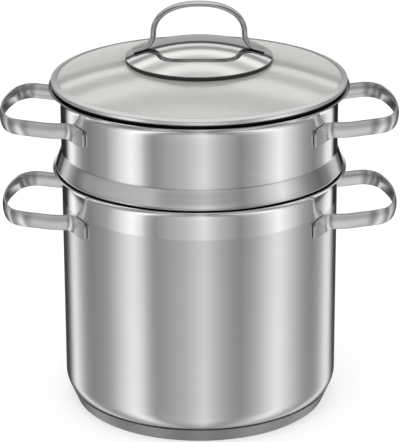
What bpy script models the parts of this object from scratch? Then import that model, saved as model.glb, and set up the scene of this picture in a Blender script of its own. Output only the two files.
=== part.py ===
# Pasta pot: a tall pot, a perforated insert that hangs in its rim, and a domed glass lid.
# Metres, +Z up. The origin is the middle of the flat underside, and the handles lie along X.
# Each vessel is a drawn sheet: its outer face is a turned profile, and the wall grows inwards.
import math

import bmesh
import bpy
from mathutils import Matrix, Vector

# Fits and facets
GAP = 0.0003                      # air between two pieces that touch
ROUND_STEPS = 36                  # facets round the vessels and the glass
SMALL_STEPS = 32                  # facets round the rosette and its gasket
HARDWARE_STEPS = 16               # facets round the parts of the lid's fastening
HOLE_STEPS = 6                    # sides of a punched hole
BAR_SIDES = 12                    # facets round the lid handle
CURVE_STEPS = 5                   # facets along each of its leg curves
ARCH_STEPS = 6                    # facets along each half of its arch
SHARP_ANGLE = math.radians(32)

# Pot
POT_INNER_RADIUS = 0.1200
POT_WALL = 0.0008
POT_HEIGHT = 0.2163               # top of the pouring rim above the ground
POT_LIP_REACH = 0.0078            # how far the pouring rim stands out from the wall
POT_CORNER_RADIUS = 0.0198

# Encapsulated base
CAPSULE_SHEET = 0.0008
CAPSULE_FOOT_INSET = 0.0088       # foot in from the pot's wall
CAPSULE_HEIGHT = 0.0122
CAPSULE_FOOT_FILLET = 0.0016
CORE_THICKNESS = 0.0048

# Insert collar
COLLAR_RISE = 0.0732              # insert rim above the pot rim
COLLAR_WALL = 0.0008
COLLAR_LIP_REACH = 0.0098
SKIRT_SLOPE = math.radians(17)    # the skirt's lean from the vertical
SKIRT_FILLET = 0.0250
BEAD_RADIUS = 0.0030
BEAD_LEDGE = 0.0013               # straight stretch between the seat and the bead
NECK_CLEARANCE = 0.0006           # collar neck to pot wall
NECK_LENGTH = 0.0090
COLLAR_SEAT = (math.radians(125), math.radians(150))    # stretch of the pot rim's curve it sits on

# Perforated basket
BASKET_WALL = 0.0008
BASKET_LAP = 0.0060               # overlap with the collar's neck
BASKET_FLOOR_CLEARANCE = 0.0350   # basket floor above the pot's floor
BASKET_CORNER_RADIUS = 0.0140
HOLE_RADIUS = 0.0025
HOLE_ROWS = 5
HOLE_ROW_PITCH = 0.0190
HOLE_START = 0.0140               # lowest row of holes above the corner's upper end
FLOOR_HOLE_RINGS = 3              # the rings hold 6, 12 and 18 holes round the middle one
FLOOR_HOLE_PITCH = 0.0290         # between rings

# Side handles: one band each, full in the middle round the grip and pressed flat along the wall
BAND_HEIGHT = 0.0142
BAND_THICKNESS = 0.0034           # in the middle of its height
BAND_EDGE_THICKNESS = 0.0018      # along its upper and lower edges
BAND_SHOULDER = 0.45              # share of its height that is full thickness
GRIP_REACH = 0.0528               # wall to the outermost face
GRIP_TIP_RADIUS = 0.1063
GRIP_CORNER_RADIUS = 0.0223
GRIP_HALF_SPREAD = 0.0545         # middle of a branch from the handle's middle, at the wall
GRIP_SPLAY = math.radians(1)
GRIP_RISE = 0.0028                # crest of the grip above its pads
GRIP_CREST = 0.0320               # wall to crest
PAD_HEIGHT = 0.0160
PAD_THICKNESS = 0.0024
PAD_CORNER_RADIUS = 0.0040
PAD_FALL = 0.0026                 # far end of a pad below the start of its branch
PAD_BEND_RADIUS = 0.0050
PAD_END = math.radians(37.2)        # far end of a pad, round the wall from the handle's middle
POT_HANDLE_DROP = 0.0351          # pads below the pot's rim
INSERT_HANDLE_DROP = 0.0255       # pads below the insert's rim

# Lid rim: a rolled strip that grips the glass and drops into the insert
STRIP_THICKNESS = 0.0006
STRIP_LEDGE = 0.0070              # straight stretch between the seat and the bead
STRIP_FLANGE = 0.0024             # straight stretch of the strip on top of the glass
STRIP_SEAT = (math.radians(137), math.radians(152))     # stretch of the insert rim's curve
LID_SKIRT_CLEARANCE = 0.0007
LID_SKIRT_DEPTH = 0.0050

# Glass
GLASS_THICKNESS = 0.0040
GLASS_DOME_RADIUS = 0.4155
GLASS_EDGE_CHAMFER = 0.0010
GLASS_EDGE_GRIP = 0.0010          # glass edge beyond the bead's middle
GLASS_HOLE_RADIUS = 0.0070

# Rosette and gasket
ROSETTE_RADIUS = 0.0638
ROSETTE_DOME_RADIUS = 0.1703
ROSETTE_SHEET = 0.0008
GASKET_HEIGHT = 0.0028
GASKET_WIDTH = 0.0062
GASKET_INSET = 0.0003             # gasket's outer face inside the rosette's edge

# Lid handle
BAR_DEPTH = 0.0090                # across the lid
BAR_THICKNESS = 0.0050
ARCH_HALF_SPAN = 0.0393
ARCH_RISE = 0.0340                # middle of the bar above the rosette's crown
ARCH_SQUARENESS = 2.25            # 2 is an ellipse, and more is fuller at the shoulders
LEG_CURVE_RADIUS = 0.0128
FOOT_SEAT_RADIUS = 0.0515         # where each foot bears on the rosette
FOOT_HALF_LENGTH = 0.0048
FOOT_WIDTH = 0.0108
FOOT_THICKNESS = 0.0028
FOOT_SQUARENESS = 6.0             # of its section: 2 is an ellipse

# Fastening of the lid handle
BOSS_RADIUS = 0.0050
SCREW_RADIUS = 0.0025
SCREW_CLEARANCE = 0.0003
SCREW_GRIP = 0.0100               # screw inside the boss
SCREW_HEAD_RADIUS = 0.0052
SCREW_HEAD_HEIGHT = 0.0032
BORE_EXTRA = 0.0015               # bore beyond the screw's end
GROMMET_FLANGE_RADIUS = 0.0110
GROMMET_FLANGE = 0.0015
GROMMET_COLLAR = 0.0015           # sleeve above the glass
WASHER_RADIUS = 0.0125
WASHER_THICKNESS = 0.0012

# Colours and finishes
STEEL_COLOUR = (0.62, 0.62, 0.61, 1)
DARK_STEEL_COLOUR = (0.42, 0.42, 0.42, 1)
ALUMINIUM_COLOUR = (0.72, 0.73, 0.74, 1)
GLASS_COLOUR = (0.80, 0.86, 0.82, 1)
SILICONE_COLOUR = (0.02, 0.02, 0.02, 1)

# Sizes that follow from the ones above
pot_outer_radius = POT_INNER_RADIUS + POT_WALL
pot_underside = CAPSULE_SHEET + GAP + CORE_THICKNESS + GAP
pot_floor = pot_underside + POT_WALL
pot_lip_centre = (pot_outer_radius + POT_LIP_REACH, POT_HEIGHT - POT_WALL - POT_LIP_REACH)
capsule_foot_radius = pot_outer_radius - CAPSULE_FOOT_INSET

insert_top = POT_HEIGHT + COLLAR_RISE
collar_inner_radius = POT_INNER_RADIUS          # the collar carries the pot's bore on upwards
collar_outer_radius = collar_inner_radius + COLLAR_WALL
collar_lip_centre = (collar_outer_radius + COLLAR_LIP_REACH,
                     insert_top - COLLAR_WALL - COLLAR_LIP_REACH)
pot_corner_centre = (pot_outer_radius - POT_CORNER_RADIUS, pot_underside + POT_CORNER_RADIUS)
capsule_rim_drop = pot_corner_centre[1] - CAPSULE_HEIGHT - CAPSULE_SHEET / 2
capsule_rim_radius = (pot_corner_centre[0] + math.sqrt(POT_CORNER_RADIUS ** 2 - capsule_rim_drop ** 2)
                      + GAP + CAPSULE_SHEET)
neck_radius = POT_INNER_RADIUS - NECK_CLEARANCE
neck_bottom = pot_lip_centre[1] - NECK_LENGTH
basket_radius = neck_radius - COLLAR_WALL - GAP
basket_underside = pot_floor + BASKET_FLOOR_CLEARANCE


def polar(centre, radius, angle):
    """Point at an angle round a centre, in the plane of the profile or of the outline."""
    return (centre[0] + radius * math.cos(angle), centre[1] + radius * math.sin(angle))


def arc(centre, radius, start, end, steps):
    """Points of an arc from start to end, both included."""
    return [polar(centre, radius, start + (end - start) * i / steps) for i in range(steps + 1)]


def material(name, colour, metallic, roughness, transmission=0.0):
    """Plain Principled material."""
    made = bpy.data.materials.new(name)
    made.use_nodes = True
    shader = made.node_tree.nodes["Principled BSDF"]
    shader.inputs["Base Color"].default_value = colour
    shader.inputs["Metallic"].default_value = metallic
    shader.inputs["Roughness"].default_value = roughness
    shader.inputs["Transmission Weight"].default_value = transmission
    made.diffuse_color = colour
    return made


def steel(name, roughness):
    return material(name, STEEL_COLOUR, 1.0, roughness)


def silicone(name):
    return material(name, SILICONE_COLOUR, 0.0, 0.55)


def add_object(name, data, collection, finish=None):
    """Object in a collection, with its own material where it has one."""
    made = bpy.data.objects.new(name, data)
    collection.objects.link(made)
    if finish is not None:
        data.materials.append(finish)
    return made


def settle(item):
    """Turn the evaluated object into its own smooth mesh with sharp creases."""
    bpy.context.view_layer.update()
    evaluated = item.evaluated_get(bpy.context.evaluated_depsgraph_get())
    mesh = bpy.data.meshes.new_from_object(evaluated)
    mesh.shade_smooth()
    mesh.set_sharp_from_angle(angle=SHARP_ANGLE)
    item.modifiers.clear()
    item.data = mesh
    return item


def turned(name, profile, collection, finish, steps, wall=None, closed=False):
    """Turned piece: the profile runs down its outer side. A wall makes it a shell of sheet."""
    mesh = bpy.data.meshes.new(name)
    edges = [(i, i + 1) for i in range(len(profile) - 1)]
    if closed:
        edges.append((len(profile) - 1, 0))
    mesh.from_pydata([(r, 0.0, z) for r, z in profile], edges, [])
    item = add_object(name, mesh, collection, finish)
    screw = item.modifiers.new("Turn", "SCREW")
    screw.steps = steps
    screw.render_steps = steps
    screw.use_merge_vertices = True
    screw.merge_threshold = 0.00001
    if wall is not None:
        shell = item.modifiers.new("Sheet", "SOLIDIFY")
        shell.thickness = wall
        shell.offset = -1
        shell.use_even_offset = True
    return settle(item)


def lofted(name, rings, collection, finish):
    """Bar whose section changes along it: each ring of points is joined to the next."""
    work = bmesh.new()
    loops = [[work.verts.new(point) for point in ring] for ring in rings]
    for first, second in zip(loops, loops[1:]):
        for i in range(len(first)):
            work.faces.new((first[i - 1], first[i], second[i], second[i - 1]))
    for end in (loops[0], loops[-1]):
        work.faces.new(end)
    bmesh.ops.recalc_face_normals(work, faces=work.faces)
    mesh = bpy.data.meshes.new(name)
    work.to_mesh(mesh)
    work.free()
    mesh.shade_smooth()
    mesh.set_sharp_from_angle(angle=SHARP_ANGLE)
    return add_object(name, mesh, collection, finish)


def lip_arc(centre, reach):
    """Underside of a pouring rim, from its edge to the top of the wall."""
    return arc(centre, reach, math.radians(90), math.radians(180), 3)


def pot_profile():
    bottom = arc(pot_corner_centre, POT_CORNER_RADIUS, 0.0, math.radians(-90), 4)
    return lip_arc(pot_lip_centre, POT_LIP_REACH) + bottom + [(0.0, pot_underside)]


def pot_outside(radius):
    """Height of the pot's outer face over its underside, at a radius."""
    outward = max(0.0, radius - pot_corner_centre[0])
    return pot_corner_centre[1] - math.sqrt(POT_CORNER_RADIUS ** 2 - outward ** 2)


def capsule_side(height, inset):
    """Radius of the capsule's flared side at a height, an inset in from its outer face."""
    share = (height - CAPSULE_FOOT_FILLET) / (CAPSULE_HEIGHT - CAPSULE_FOOT_FILLET)
    return capsule_foot_radius + (capsule_rim_radius - capsule_foot_radius) * share - inset


def capsule_profile():
    """Outer face of the capsule: from the seam under the pot's corner to the ground."""
    flare = math.atan2(capsule_rim_radius - capsule_foot_radius, CAPSULE_HEIGHT - CAPSULE_FOOT_FILLET)
    centre = (capsule_foot_radius - CAPSULE_FOOT_FILLET, CAPSULE_FOOT_FILLET)
    foot = arc(centre, CAPSULE_FOOT_FILLET, -flare, math.radians(-90), 2)
    return [(capsule_rim_radius, CAPSULE_HEIGHT)] + foot + [(0.0, 0.0)]


def core_profile():
    """Aluminium disc: it fills the space between the capsule and the pot."""
    bottom = CAPSULE_SHEET + GAP
    inset = CAPSULE_SHEET + GAP
    edge = capsule_side(pot_underside, inset + GAP)
    upper = pot_outside(edge) - GAP
    middle = (pot_corner_centre[0] + edge) / 2
    return [
        (0.0, pot_underside - GAP),
        (pot_corner_centre[0], pot_underside - GAP),
        (middle, pot_outside(middle) - GAP),
        (edge, upper),
        (capsule_side(bottom + CAPSULE_FOOT_FILLET, inset + GAP), bottom + CAPSULE_FOOT_FILLET),
        (capsule_foot_radius - CAPSULE_FOOT_FILLET - inset, bottom),
        (0.0, bottom),
    ]


def seat_line(lip_centre, reach, wall, stretch, bead_radius, ledge):
    """Where a sheet bears on a pouring rim, and the middle of the bead outside that seat."""
    seat_radius = reach + wall + GAP
    seat = arc(lip_centre, seat_radius, *stretch, 2)
    outward = stretch[0] - math.radians(90)
    bead_end = polar(seat[0], ledge, outward)
    bead_centre = polar(bead_end, bead_radius, outward + math.radians(90))
    return seat, bead_centre, outward - math.radians(90)


def collar_profile():
    """Outer face of the collar: rim, wall, flared skirt, bead, seat on the pot, and neck."""
    seat, bead_centre, bead_end = seat_line(pot_lip_centre, POT_LIP_REACH, POT_WALL, COLLAR_SEAT,
                                            BEAD_RADIUS, BEAD_LEDGE)
    bead = arc(bead_centre, BEAD_RADIUS, SKIRT_SLOPE, bead_end, 3)
    fillet_side = collar_outer_radius + SKIRT_FILLET * (1 - math.cos(SKIRT_SLOPE))
    skirt_run = (bead[0][0] - fillet_side) / math.sin(SKIRT_SLOPE)
    fillet_height = bead[0][1] + skirt_run * math.cos(SKIRT_SLOPE) + SKIRT_FILLET * math.sin(SKIRT_SLOPE)
    fillet = arc((collar_outer_radius + SKIRT_FILLET, fillet_height), SKIRT_FILLET,
                 math.radians(180), math.radians(180) + SKIRT_SLOPE, 2)
    neck = [(neck_radius, pot_lip_centre[1]), (neck_radius, neck_bottom)]
    return lip_arc(collar_lip_centre, COLLAR_LIP_REACH) + fillet + bead + seat + neck


def basket_profile():
    """Outer face of the basket: from the lap in the collar's neck to the middle of its floor."""
    corner = (basket_radius - BASKET_CORNER_RADIUS, basket_underside + BASKET_CORNER_RADIUS)
    bottom = arc(corner, BASKET_CORNER_RADIUS, 0.0, math.radians(-90), 3)
    return [(basket_radius, neck_bottom + BASKET_LAP)] + bottom + [(0.0, basket_underside)]


def wall_holes():
    """Where the wall is punched: every second facet in a row, and the others in the next row."""
    columns = ROUND_STEPS // 2
    lowest = basket_underside + BASKET_CORNER_RADIUS + HOLE_START
    places = []
    for row in range(HOLE_ROWS):
        for column in range(columns):
            angle = 2 * math.pi * (column + 0.25 + 0.5 * (row % 2)) / columns
            turn = Matrix.Rotation(angle, 4, "Z") @ Matrix.Rotation(math.radians(90), 4, "Y")
            middle = (*polar((0.0, 0.0), basket_radius, angle), lowest + row * HOLE_ROW_PITCH)
            places.append(Matrix.Translation(middle) @ turn)
    return places


def floor_holes():
    """Where the floor is punched: one hole in the middle, and rings round it."""
    places = [Matrix.Translation((0.0, 0.0, basket_underside))]
    for ring in range(1, FLOOR_HOLE_RINGS + 1):
        for i in range(6 * ring):
            middle = polar((0.0, 0.0), ring * FLOOR_HOLE_PITCH, 2 * math.pi * i / (6 * ring))
            places.append(Matrix.Translation((*middle, basket_underside)))
    return places


def punches(cutters):
    """Cutter with one short prism through the sheet for each hole."""
    work = bmesh.new()
    for place in wall_holes() + floor_holes():
        bmesh.ops.create_cone(work, cap_ends=True, segments=HOLE_STEPS, radius1=HOLE_RADIUS,
                              radius2=HOLE_RADIUS, depth=6 * BASKET_WALL, matrix=place)
    mesh = bpy.data.meshes.new("punches")
    work.to_mesh(mesh)
    work.free()
    item = add_object("punches", mesh, cutters)
    item.hide_render = True
    item.display_type = "WIRE"
    return item


def make_basket(collection, cutters):
    """Perforated cup, turned as the other vessels are and then punched."""
    item = turned("insert_basket", basket_profile(), collection, steel("basket_steel", 0.30),
                  ROUND_STEPS, wall=BASKET_WALL)
    cut = item.modifiers.new("Punched holes", "BOOLEAN")
    cut.operation = "DIFFERENCE"
    cut.object = punches(cutters)
    return settle(item)


def grip_height(distance):
    """Rise of the grip over its pads, at a distance out from the wall."""
    if distance <= 0:
        return 0.0
    if distance < GRIP_CREST:
        return GRIP_RISE * 0.5 * (1 - math.cos(math.pi * distance / GRIP_CREST))
    beyond = (distance - GRIP_CREST) / (GRIP_REACH - GRIP_CREST)
    return GRIP_RISE * (1 - beyond ** 2)


def grip_path(wall_radius):
    """Middle line of half a side handle at +X: pad, bend, branch, corner and tip.

    With each point come how far the section has changed from pad (0) to grip (1), and how much the
    pad's rounded end takes off its height above and below.
    """
    pad_radius = wall_radius + GAP + PAD_THICKNESS / 2
    out = Vector((math.sin(GRIP_SPLAY), math.cos(GRIP_SPLAY)))
    branch = out.dot(Vector((wall_radius, GRIP_HALF_SPREAD)))
    bend_reach = pad_radius + PAD_BEND_RADIUS
    pad_start = math.asin((branch + PAD_BEND_RADIUS) / bend_reach) - GRIP_SPLAY
    bend_centre = polar((0.0, 0.0), bend_reach, pad_start)
    tip_face = wall_radius + GRIP_REACH - BAND_THICKNESS / 2
    tip_centre = (tip_face - GRIP_TIP_RADIUS, 0.0)
    swing = GRIP_TIP_RADIUS - GRIP_CORNER_RADIUS
    turn = math.asin((branch - GRIP_CORNER_RADIUS - out.x * tip_centre[0]) / swing) - GRIP_SPLAY
    corner_centre = polar(tip_centre, swing, turn)
    quarter = math.radians(90)
    bend_steps = 3
    line = []
    trims = []
    for angle in (0.0, quarter / 2, quarter):
        inward = PAD_CORNER_RADIUS * (1 - math.cos(angle))
        line.append(polar((0.0, 0.0), pad_radius, PAD_END - inward / pad_radius))
        trims.append(PAD_CORNER_RADIUS * (1 - math.sin(angle)))
    flat_end = PAD_END - PAD_CORNER_RADIUS / pad_radius
    line += arc((0.0, 0.0), pad_radius, flat_end, pad_start, 2)[1:]
    shares = [0.0] * len(line)
    line += arc(bend_centre, PAD_BEND_RADIUS, pad_start + 2 * quarter, 3 * quarter - GRIP_SPLAY,
                bend_steps)[1:]
    shares += [i / bend_steps for i in range(1, bend_steps + 1)]
    branch_end = polar(corner_centre, GRIP_CORNER_RADIUS, quarter - GRIP_SPLAY)
    line.append(((line[-1][0] + branch_end[0]) / 2, (line[-1][1] + branch_end[1]) / 2))
    line += arc(corner_centre, GRIP_CORNER_RADIUS, quarter - GRIP_SPLAY, turn, 4)
    line += arc(tip_centre, GRIP_TIP_RADIUS, turn, 0.0, 2)[1:]
    shares += [1.0] * (len(line) - len(shares))
    trims += [0.0] * (len(line) - len(trims))
    return line, shares, trims


def band_heights(line, bend_end, wall_radius):
    """Height of each point of the middle line: the grip's rise, and the fall of the pad below it."""
    heights = [grip_height(x - wall_radius) for x, y in line]
    steps = [math.dist(first, second) for first, second in zip(line[:bend_end], line[1:])]
    for i in range(bend_end):
        heights[i] -= PAD_FALL * sum(steps[i:]) / sum(steps)
    return heights


def band_ring(middle, across, share, trim):
    """Section of a side handle: thickness across, height up."""
    half_height = (PAD_HEIGHT + (BAND_HEIGHT - PAD_HEIGHT) * share) / 2 - trim
    edge = (PAD_THICKNESS + (BAND_EDGE_THICKNESS - PAD_THICKNESS) * share) / 2
    belly = (PAD_THICKNESS + (BAND_THICKNESS - PAD_THICKNESS) * share) / 2
    shoulder = BAND_SHOULDER * half_height
    right = [(edge, -half_height), (belly, -shoulder), (belly, shoulder), (edge, half_height)]
    outline = right + [(-x, -z) for x, z in right]
    return [middle + across * x + Vector((0.0, 0.0, z)) for x, z in outline]


def band_rings(wall_radius):
    """Sections along the whole handle, from one pad's end to the other's."""
    line, shares, trims = grip_path(wall_radius)
    heights = band_heights(line, shares.index(1.0), wall_radius)
    path = line + [(x, -y) for x, y in reversed(line[:-1])]
    shares += shares[-2::-1]
    trims += trims[-2::-1]
    heights += heights[-2::-1]
    rings = []
    for i, (x, y) in enumerate(path):
        before = Vector(path[max(i - 1, 0)])
        after = Vector(path[min(i + 1, len(path) - 1)])
        here = Vector((x, y))
        along = (here - before).normalized() + (after - here).normalized()
        across = Vector((along.y, -along.x, 0.0)).normalized()
        rings.append(band_ring(Vector((x, y, heights[i])), across, shares[i], trims[i]))
    return rings


def make_side_handles(body_name, wall_radius, height, collection):
    """Two handles of one shape, the left one turned half way round."""
    right = lofted(body_name + "_handle_right", band_rings(wall_radius), collection,
                   steel(body_name + "_handle_right_steel", 0.22))
    left = add_object(body_name + "_handle_left", right.data.copy(), collection)
    left.data.materials[0] = steel(body_name + "_handle_left_steel", 0.22)
    left.rotation_euler.z = math.pi
    for item in (left, right):
        item.location.z = height


strip_bead_radius = GLASS_THICKNESS / 2 + GAP + STRIP_THICKNESS
strip_seat, strip_bead_centre, strip_bead_end = seat_line(
    collar_lip_centre, COLLAR_LIP_REACH, COLLAR_WALL, STRIP_SEAT, strip_bead_radius, STRIP_LEDGE)
glass_edge = strip_bead_centre[0] + GLASS_EDGE_GRIP
glass_middle_radius = GLASS_DOME_RADIUS - GLASS_THICKNESS / 2
glass_centre_height = strip_bead_centre[1] - math.sqrt(glass_middle_radius ** 2
                                                       - strip_bead_centre[0] ** 2)


def lid_rim_profile():
    """Strip: along the glass, round its edge, down to the seat, and the skirt in the insert."""
    square_to_glass = math.acos(strip_bead_centre[0] / glass_middle_radius)
    bead = arc(strip_bead_centre, strip_bead_radius, square_to_glass, strip_bead_end, 5)
    flange_end = polar(bead[0], STRIP_FLANGE, square_to_glass + math.radians(90))
    skirt_radius = collar_inner_radius - LID_SKIRT_CLEARANCE
    skirt_top = collar_lip_centre[1] + 2 * LID_SKIRT_CLEARANCE
    skirt = [(skirt_radius, skirt_top), (skirt_radius, skirt_top - LID_SKIRT_DEPTH)]
    return [flange_end] + bead + strip_seat + skirt


def dome_height(radius, dome_radius):
    """Height of the glass over its sphere's middle: outer face, or any face inside it."""
    return glass_centre_height + math.sqrt(dome_radius ** 2 - radius ** 2)


glass_crown = dome_height(0.0, GLASS_DOME_RADIUS)
glass_underside = glass_crown - GLASS_THICKNESS
gasket_outer = ROSETTE_RADIUS - GASKET_INSET
rosette_edge = dome_height(gasket_outer, GLASS_DOME_RADIUS) + GASKET_HEIGHT + 2 * GAP + ROSETTE_SHEET
rosette_centre_height = rosette_edge - math.sqrt(ROSETTE_DOME_RADIUS ** 2 - ROSETTE_RADIUS ** 2)
rosette_crown = rosette_centre_height + ROSETTE_DOME_RADIUS
washer_top = glass_underside - 2 * GAP - GROMMET_FLANGE


def glass_profile():
    """Closed section of the glass, from its hole over the dome and back under it."""
    inner_dome = GLASS_DOME_RADIUS - GLASS_THICKNESS
    steps = 4
    radii = [GLASS_HOLE_RADIUS + (glass_edge - GLASS_EDGE_CHAMFER - GLASS_HOLE_RADIUS) * i / steps
             for i in range(steps + 1)]
    upper = [(r, dome_height(r, GLASS_DOME_RADIUS)) for r in radii]
    lower = [(r, dome_height(r, inner_dome)) for r in reversed(radii)]
    edge_top = (glass_edge, dome_height(glass_edge, GLASS_DOME_RADIUS) - GLASS_EDGE_CHAMFER)
    edge_bottom = (glass_edge, dome_height(glass_edge, inner_dome) + GLASS_EDGE_CHAMFER)
    return upper + [edge_top, edge_bottom] + lower


def rosette_height(radius, inset=0.0):
    """Height of the rosette's dome, an inset below its polished face."""
    return rosette_centre_height + math.sqrt((ROSETTE_DOME_RADIUS - inset) ** 2 - radius ** 2)


def rosette_profile():
    slope = math.asin(ROSETTE_RADIUS / ROSETTE_DOME_RADIUS)
    crown_to_edge = arc((0.0, rosette_centre_height), ROSETTE_DOME_RADIUS, math.radians(90),
                        math.radians(90) - slope, 5)
    return crown_to_edge


def gasket_profile():
    """Closed section of the gasket: it follows the glass below and the rosette above."""
    inner = gasket_outer - GASKET_WIDTH
    below = ROSETTE_SHEET + GAP
    return [
        (gasket_outer, rosette_height(gasket_outer, below)),
        (gasket_outer, dome_height(gasket_outer, GLASS_DOME_RADIUS) + GAP),
        (inner, dome_height(inner, GLASS_DOME_RADIUS) + GAP),
        (inner, rosette_height(inner, below)),
    ]


def arch_path():
    """Middle line of half the lid handle, and how far each point is from flat foot (0) to bar (1)."""
    slope = math.asin(FOOT_SEAT_RADIUS / ROSETTE_DOME_RADIUS)
    across = Vector((math.cos(slope), -math.sin(slope)))
    away = Vector((math.sin(slope), math.cos(slope)))
    seat = Vector((FOOT_SEAT_RADIUS, rosette_height(FOOT_SEAT_RADIUS)))
    foot = seat + away * (FOOT_THICKNESS / 2 + GAP)
    toe = foot + across * FOOT_HALF_LENGTH
    curve_side = ARCH_HALF_SPAN + LEG_CURVE_RADIUS
    curve_height = foot.y + (LEG_CURVE_RADIUS - away.x * (curve_side - foot.x)) / away.y
    down = math.atan2(-away.y, -away.x)
    curve = arc((curve_side, curve_height), LEG_CURVE_RADIUS, down, math.radians(-180), CURVE_STEPS)
    rise = rosette_crown + ARCH_RISE - curve_height
    power = 2 / ARCH_SQUARENESS
    arch = []
    for i in range(1, ARCH_STEPS + 1):
        angle = math.radians(90) * i / ARCH_STEPS
        arch.append((ARCH_HALF_SPAN * abs(math.cos(angle)) ** power,
                     curve_height + rise * math.sin(angle) ** power))
    fullness = [0.0] + [i / CURVE_STEPS for i in range(CURVE_STEPS + 1)] + [1.0] * ARCH_STEPS
    return [tuple(toe)] + curve + arch, fullness


def bar_ring(middle, outward, fullness):
    """Section of the lid handle: a flat rounded oblong at the foot, and an ellipse along the bar."""
    depth = FOOT_WIDTH + (BAR_DEPTH - FOOT_WIDTH) * fullness
    thickness = FOOT_THICKNESS + (BAR_THICKNESS - FOOT_THICKNESS) * fullness
    power = 2 / (FOOT_SQUARENESS + (2 - FOOT_SQUARENESS) * fullness)
    ring = []
    for i in range(BAR_SIDES):
        angle = 2 * math.pi * (i + 0.5) / BAR_SIDES
        along_y = math.copysign(abs(math.cos(angle)) ** power, math.cos(angle)) * depth / 2
        off = math.copysign(abs(math.sin(angle)) ** power, math.sin(angle)) * thickness / 2
        ring.append((middle[0] + outward.x * off, along_y, middle[1] + outward.y * off))
    return ring


def lid_handle_rings():
    """Sections from one toe over the arch to the other toe."""
    half, half_fullness = arch_path()
    path = half + [(-x, z) for x, z in reversed(half[:-1])]
    fullness = half_fullness + half_fullness[-2::-1]
    rings = []
    for i, middle in enumerate(path):
        before = path[max(i - 1, 0)]
        after = path[min(i + 1, len(path) - 1)]
        outward = Vector((after[1] - before[1], before[0] - after[0])).normalized()
        rings.append(bar_ring(middle, outward, fullness[i]))
    return rings


def boss_profile():
    """Threaded boss under the rosette's crown, bored from below."""
    bore = SCREW_RADIUS + SCREW_CLEARANCE
    bottom = washer_top + GAP
    bore_end = bottom + SCREW_GRIP + BORE_EXTRA
    top = rosette_height(0.0, ROSETTE_SHEET + GAP) - (ROSETTE_DOME_RADIUS - math.sqrt(
        ROSETTE_DOME_RADIUS ** 2 - BOSS_RADIUS ** 2))
    return [(0.0, top), (BOSS_RADIUS, top), (BOSS_RADIUS, bottom), (bore, bottom),
            (bore, bore_end), (0.0, bore_end)]


def grommet_profile():
    """Silicone sleeve through the glass, with a flange under it."""
    inner = BOSS_RADIUS + GAP
    sleeve = GLASS_HOLE_RADIUS - GAP
    flange_top = dome_height(GLASS_HOLE_RADIUS, GLASS_DOME_RADIUS - GLASS_THICKNESS) - 2 * GAP
    return [
        (inner, glass_crown + GROMMET_COLLAR),
        (sleeve, glass_crown + GROMMET_COLLAR),
        (sleeve, flange_top),
        (GROMMET_FLANGE_RADIUS, flange_top),
        (GROMMET_FLANGE_RADIUS, washer_top + GAP),
        (inner, washer_top + GAP),
    ]


def washer_profile():
    inner = SCREW_RADIUS + SCREW_CLEARANCE
    bottom = washer_top - WASHER_THICKNESS
    return [(inner, washer_top), (WASHER_RADIUS, washer_top), (WASHER_RADIUS, bottom), (inner, bottom)]


def screw_profile():
    """Pan-head screw from below: shank in the boss, head under the washer."""
    head_top = washer_top - WASHER_THICKNESS - GAP
    tip = washer_top + GAP + SCREW_GRIP
    return [
        (0.0, tip),
        (SCREW_RADIUS, tip),
        (SCREW_RADIUS, head_top),
        (SCREW_HEAD_RADIUS, head_top),
        (SCREW_HEAD_RADIUS, head_top - SCREW_HEAD_HEIGHT / 2),
        (SCREW_HEAD_RADIUS * 0.7, head_top - SCREW_HEAD_HEIGHT),
        (0.0, head_top - SCREW_HEAD_HEIGHT),
    ]


def make_pot(collection):
    turned("pot_body", pot_profile(), collection, steel("pot_steel", 0.32), ROUND_STEPS, wall=POT_WALL)
    turned("base_core", core_profile(), collection,
           material("core_aluminium", ALUMINIUM_COLOUR, 1.0, 0.45), ROUND_STEPS)
    turned("base_capsule", capsule_profile(), collection,
           material("capsule_steel", DARK_STEEL_COLOUR, 1.0, 0.38), ROUND_STEPS, wall=CAPSULE_SHEET)
    make_side_handles("pot", pot_outer_radius, POT_HEIGHT - POT_HANDLE_DROP, collection)


def make_insert(collection, cutters):
    turned("insert_collar", collar_profile(), collection, steel("collar_steel", 0.14), ROUND_STEPS,
           wall=COLLAR_WALL)
    make_basket(collection, cutters)
    make_side_handles("insert", collar_outer_radius, insert_top - INSERT_HANDLE_DROP, collection)


def make_lid(collection):
    turned("lid_rim", lid_rim_profile(), collection, steel("lid_rim_steel", 0.12), ROUND_STEPS,
           wall=STRIP_THICKNESS)
    turned("lid_glass", glass_profile(), collection,
           material("lid_glass_clear", GLASS_COLOUR, 0.0, 0.03, 0.9), ROUND_STEPS, closed=True)
    turned("lid_rosette", rosette_profile(), collection, steel("rosette_steel", 0.06), SMALL_STEPS,
           wall=ROSETTE_SHEET)
    turned("rosette_gasket", gasket_profile(), collection, silicone("gasket_silicone"), SMALL_STEPS,
           closed=True)
    lofted("lid_handle", lid_handle_rings(), collection, steel("lid_handle_steel", 0.12))
    turned("lid_boss", boss_profile(), collection, steel("boss_steel", 0.3), HARDWARE_STEPS)
    turned("lid_grommet", grommet_profile(), collection, silicone("grommet_silicone"),
           HARDWARE_STEPS, closed=True)
    turned("lid_washer", washer_profile(), collection, steel("washer_steel", 0.25), HARDWARE_STEPS,
           closed=True)
    turned("lid_screw", screw_profile(), collection, steel("screw_steel", 0.25), HARDWARE_STEPS)


def main():
    for item in list(bpy.data.objects):
        bpy.data.objects.remove(item)
    parts = bpy.data.collections.new("pasta_pot")
    cutters = bpy.data.collections.new("cutters")
    for group in (parts, cutters):
        bpy.context.scene.collection.children.link(group)
    make_pot(parts)
    make_insert(parts, cutters)
    make_lid(parts)


main()
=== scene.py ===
import math

import bmesh
import bpy
from mathutils import Matrix, Vector


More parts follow.
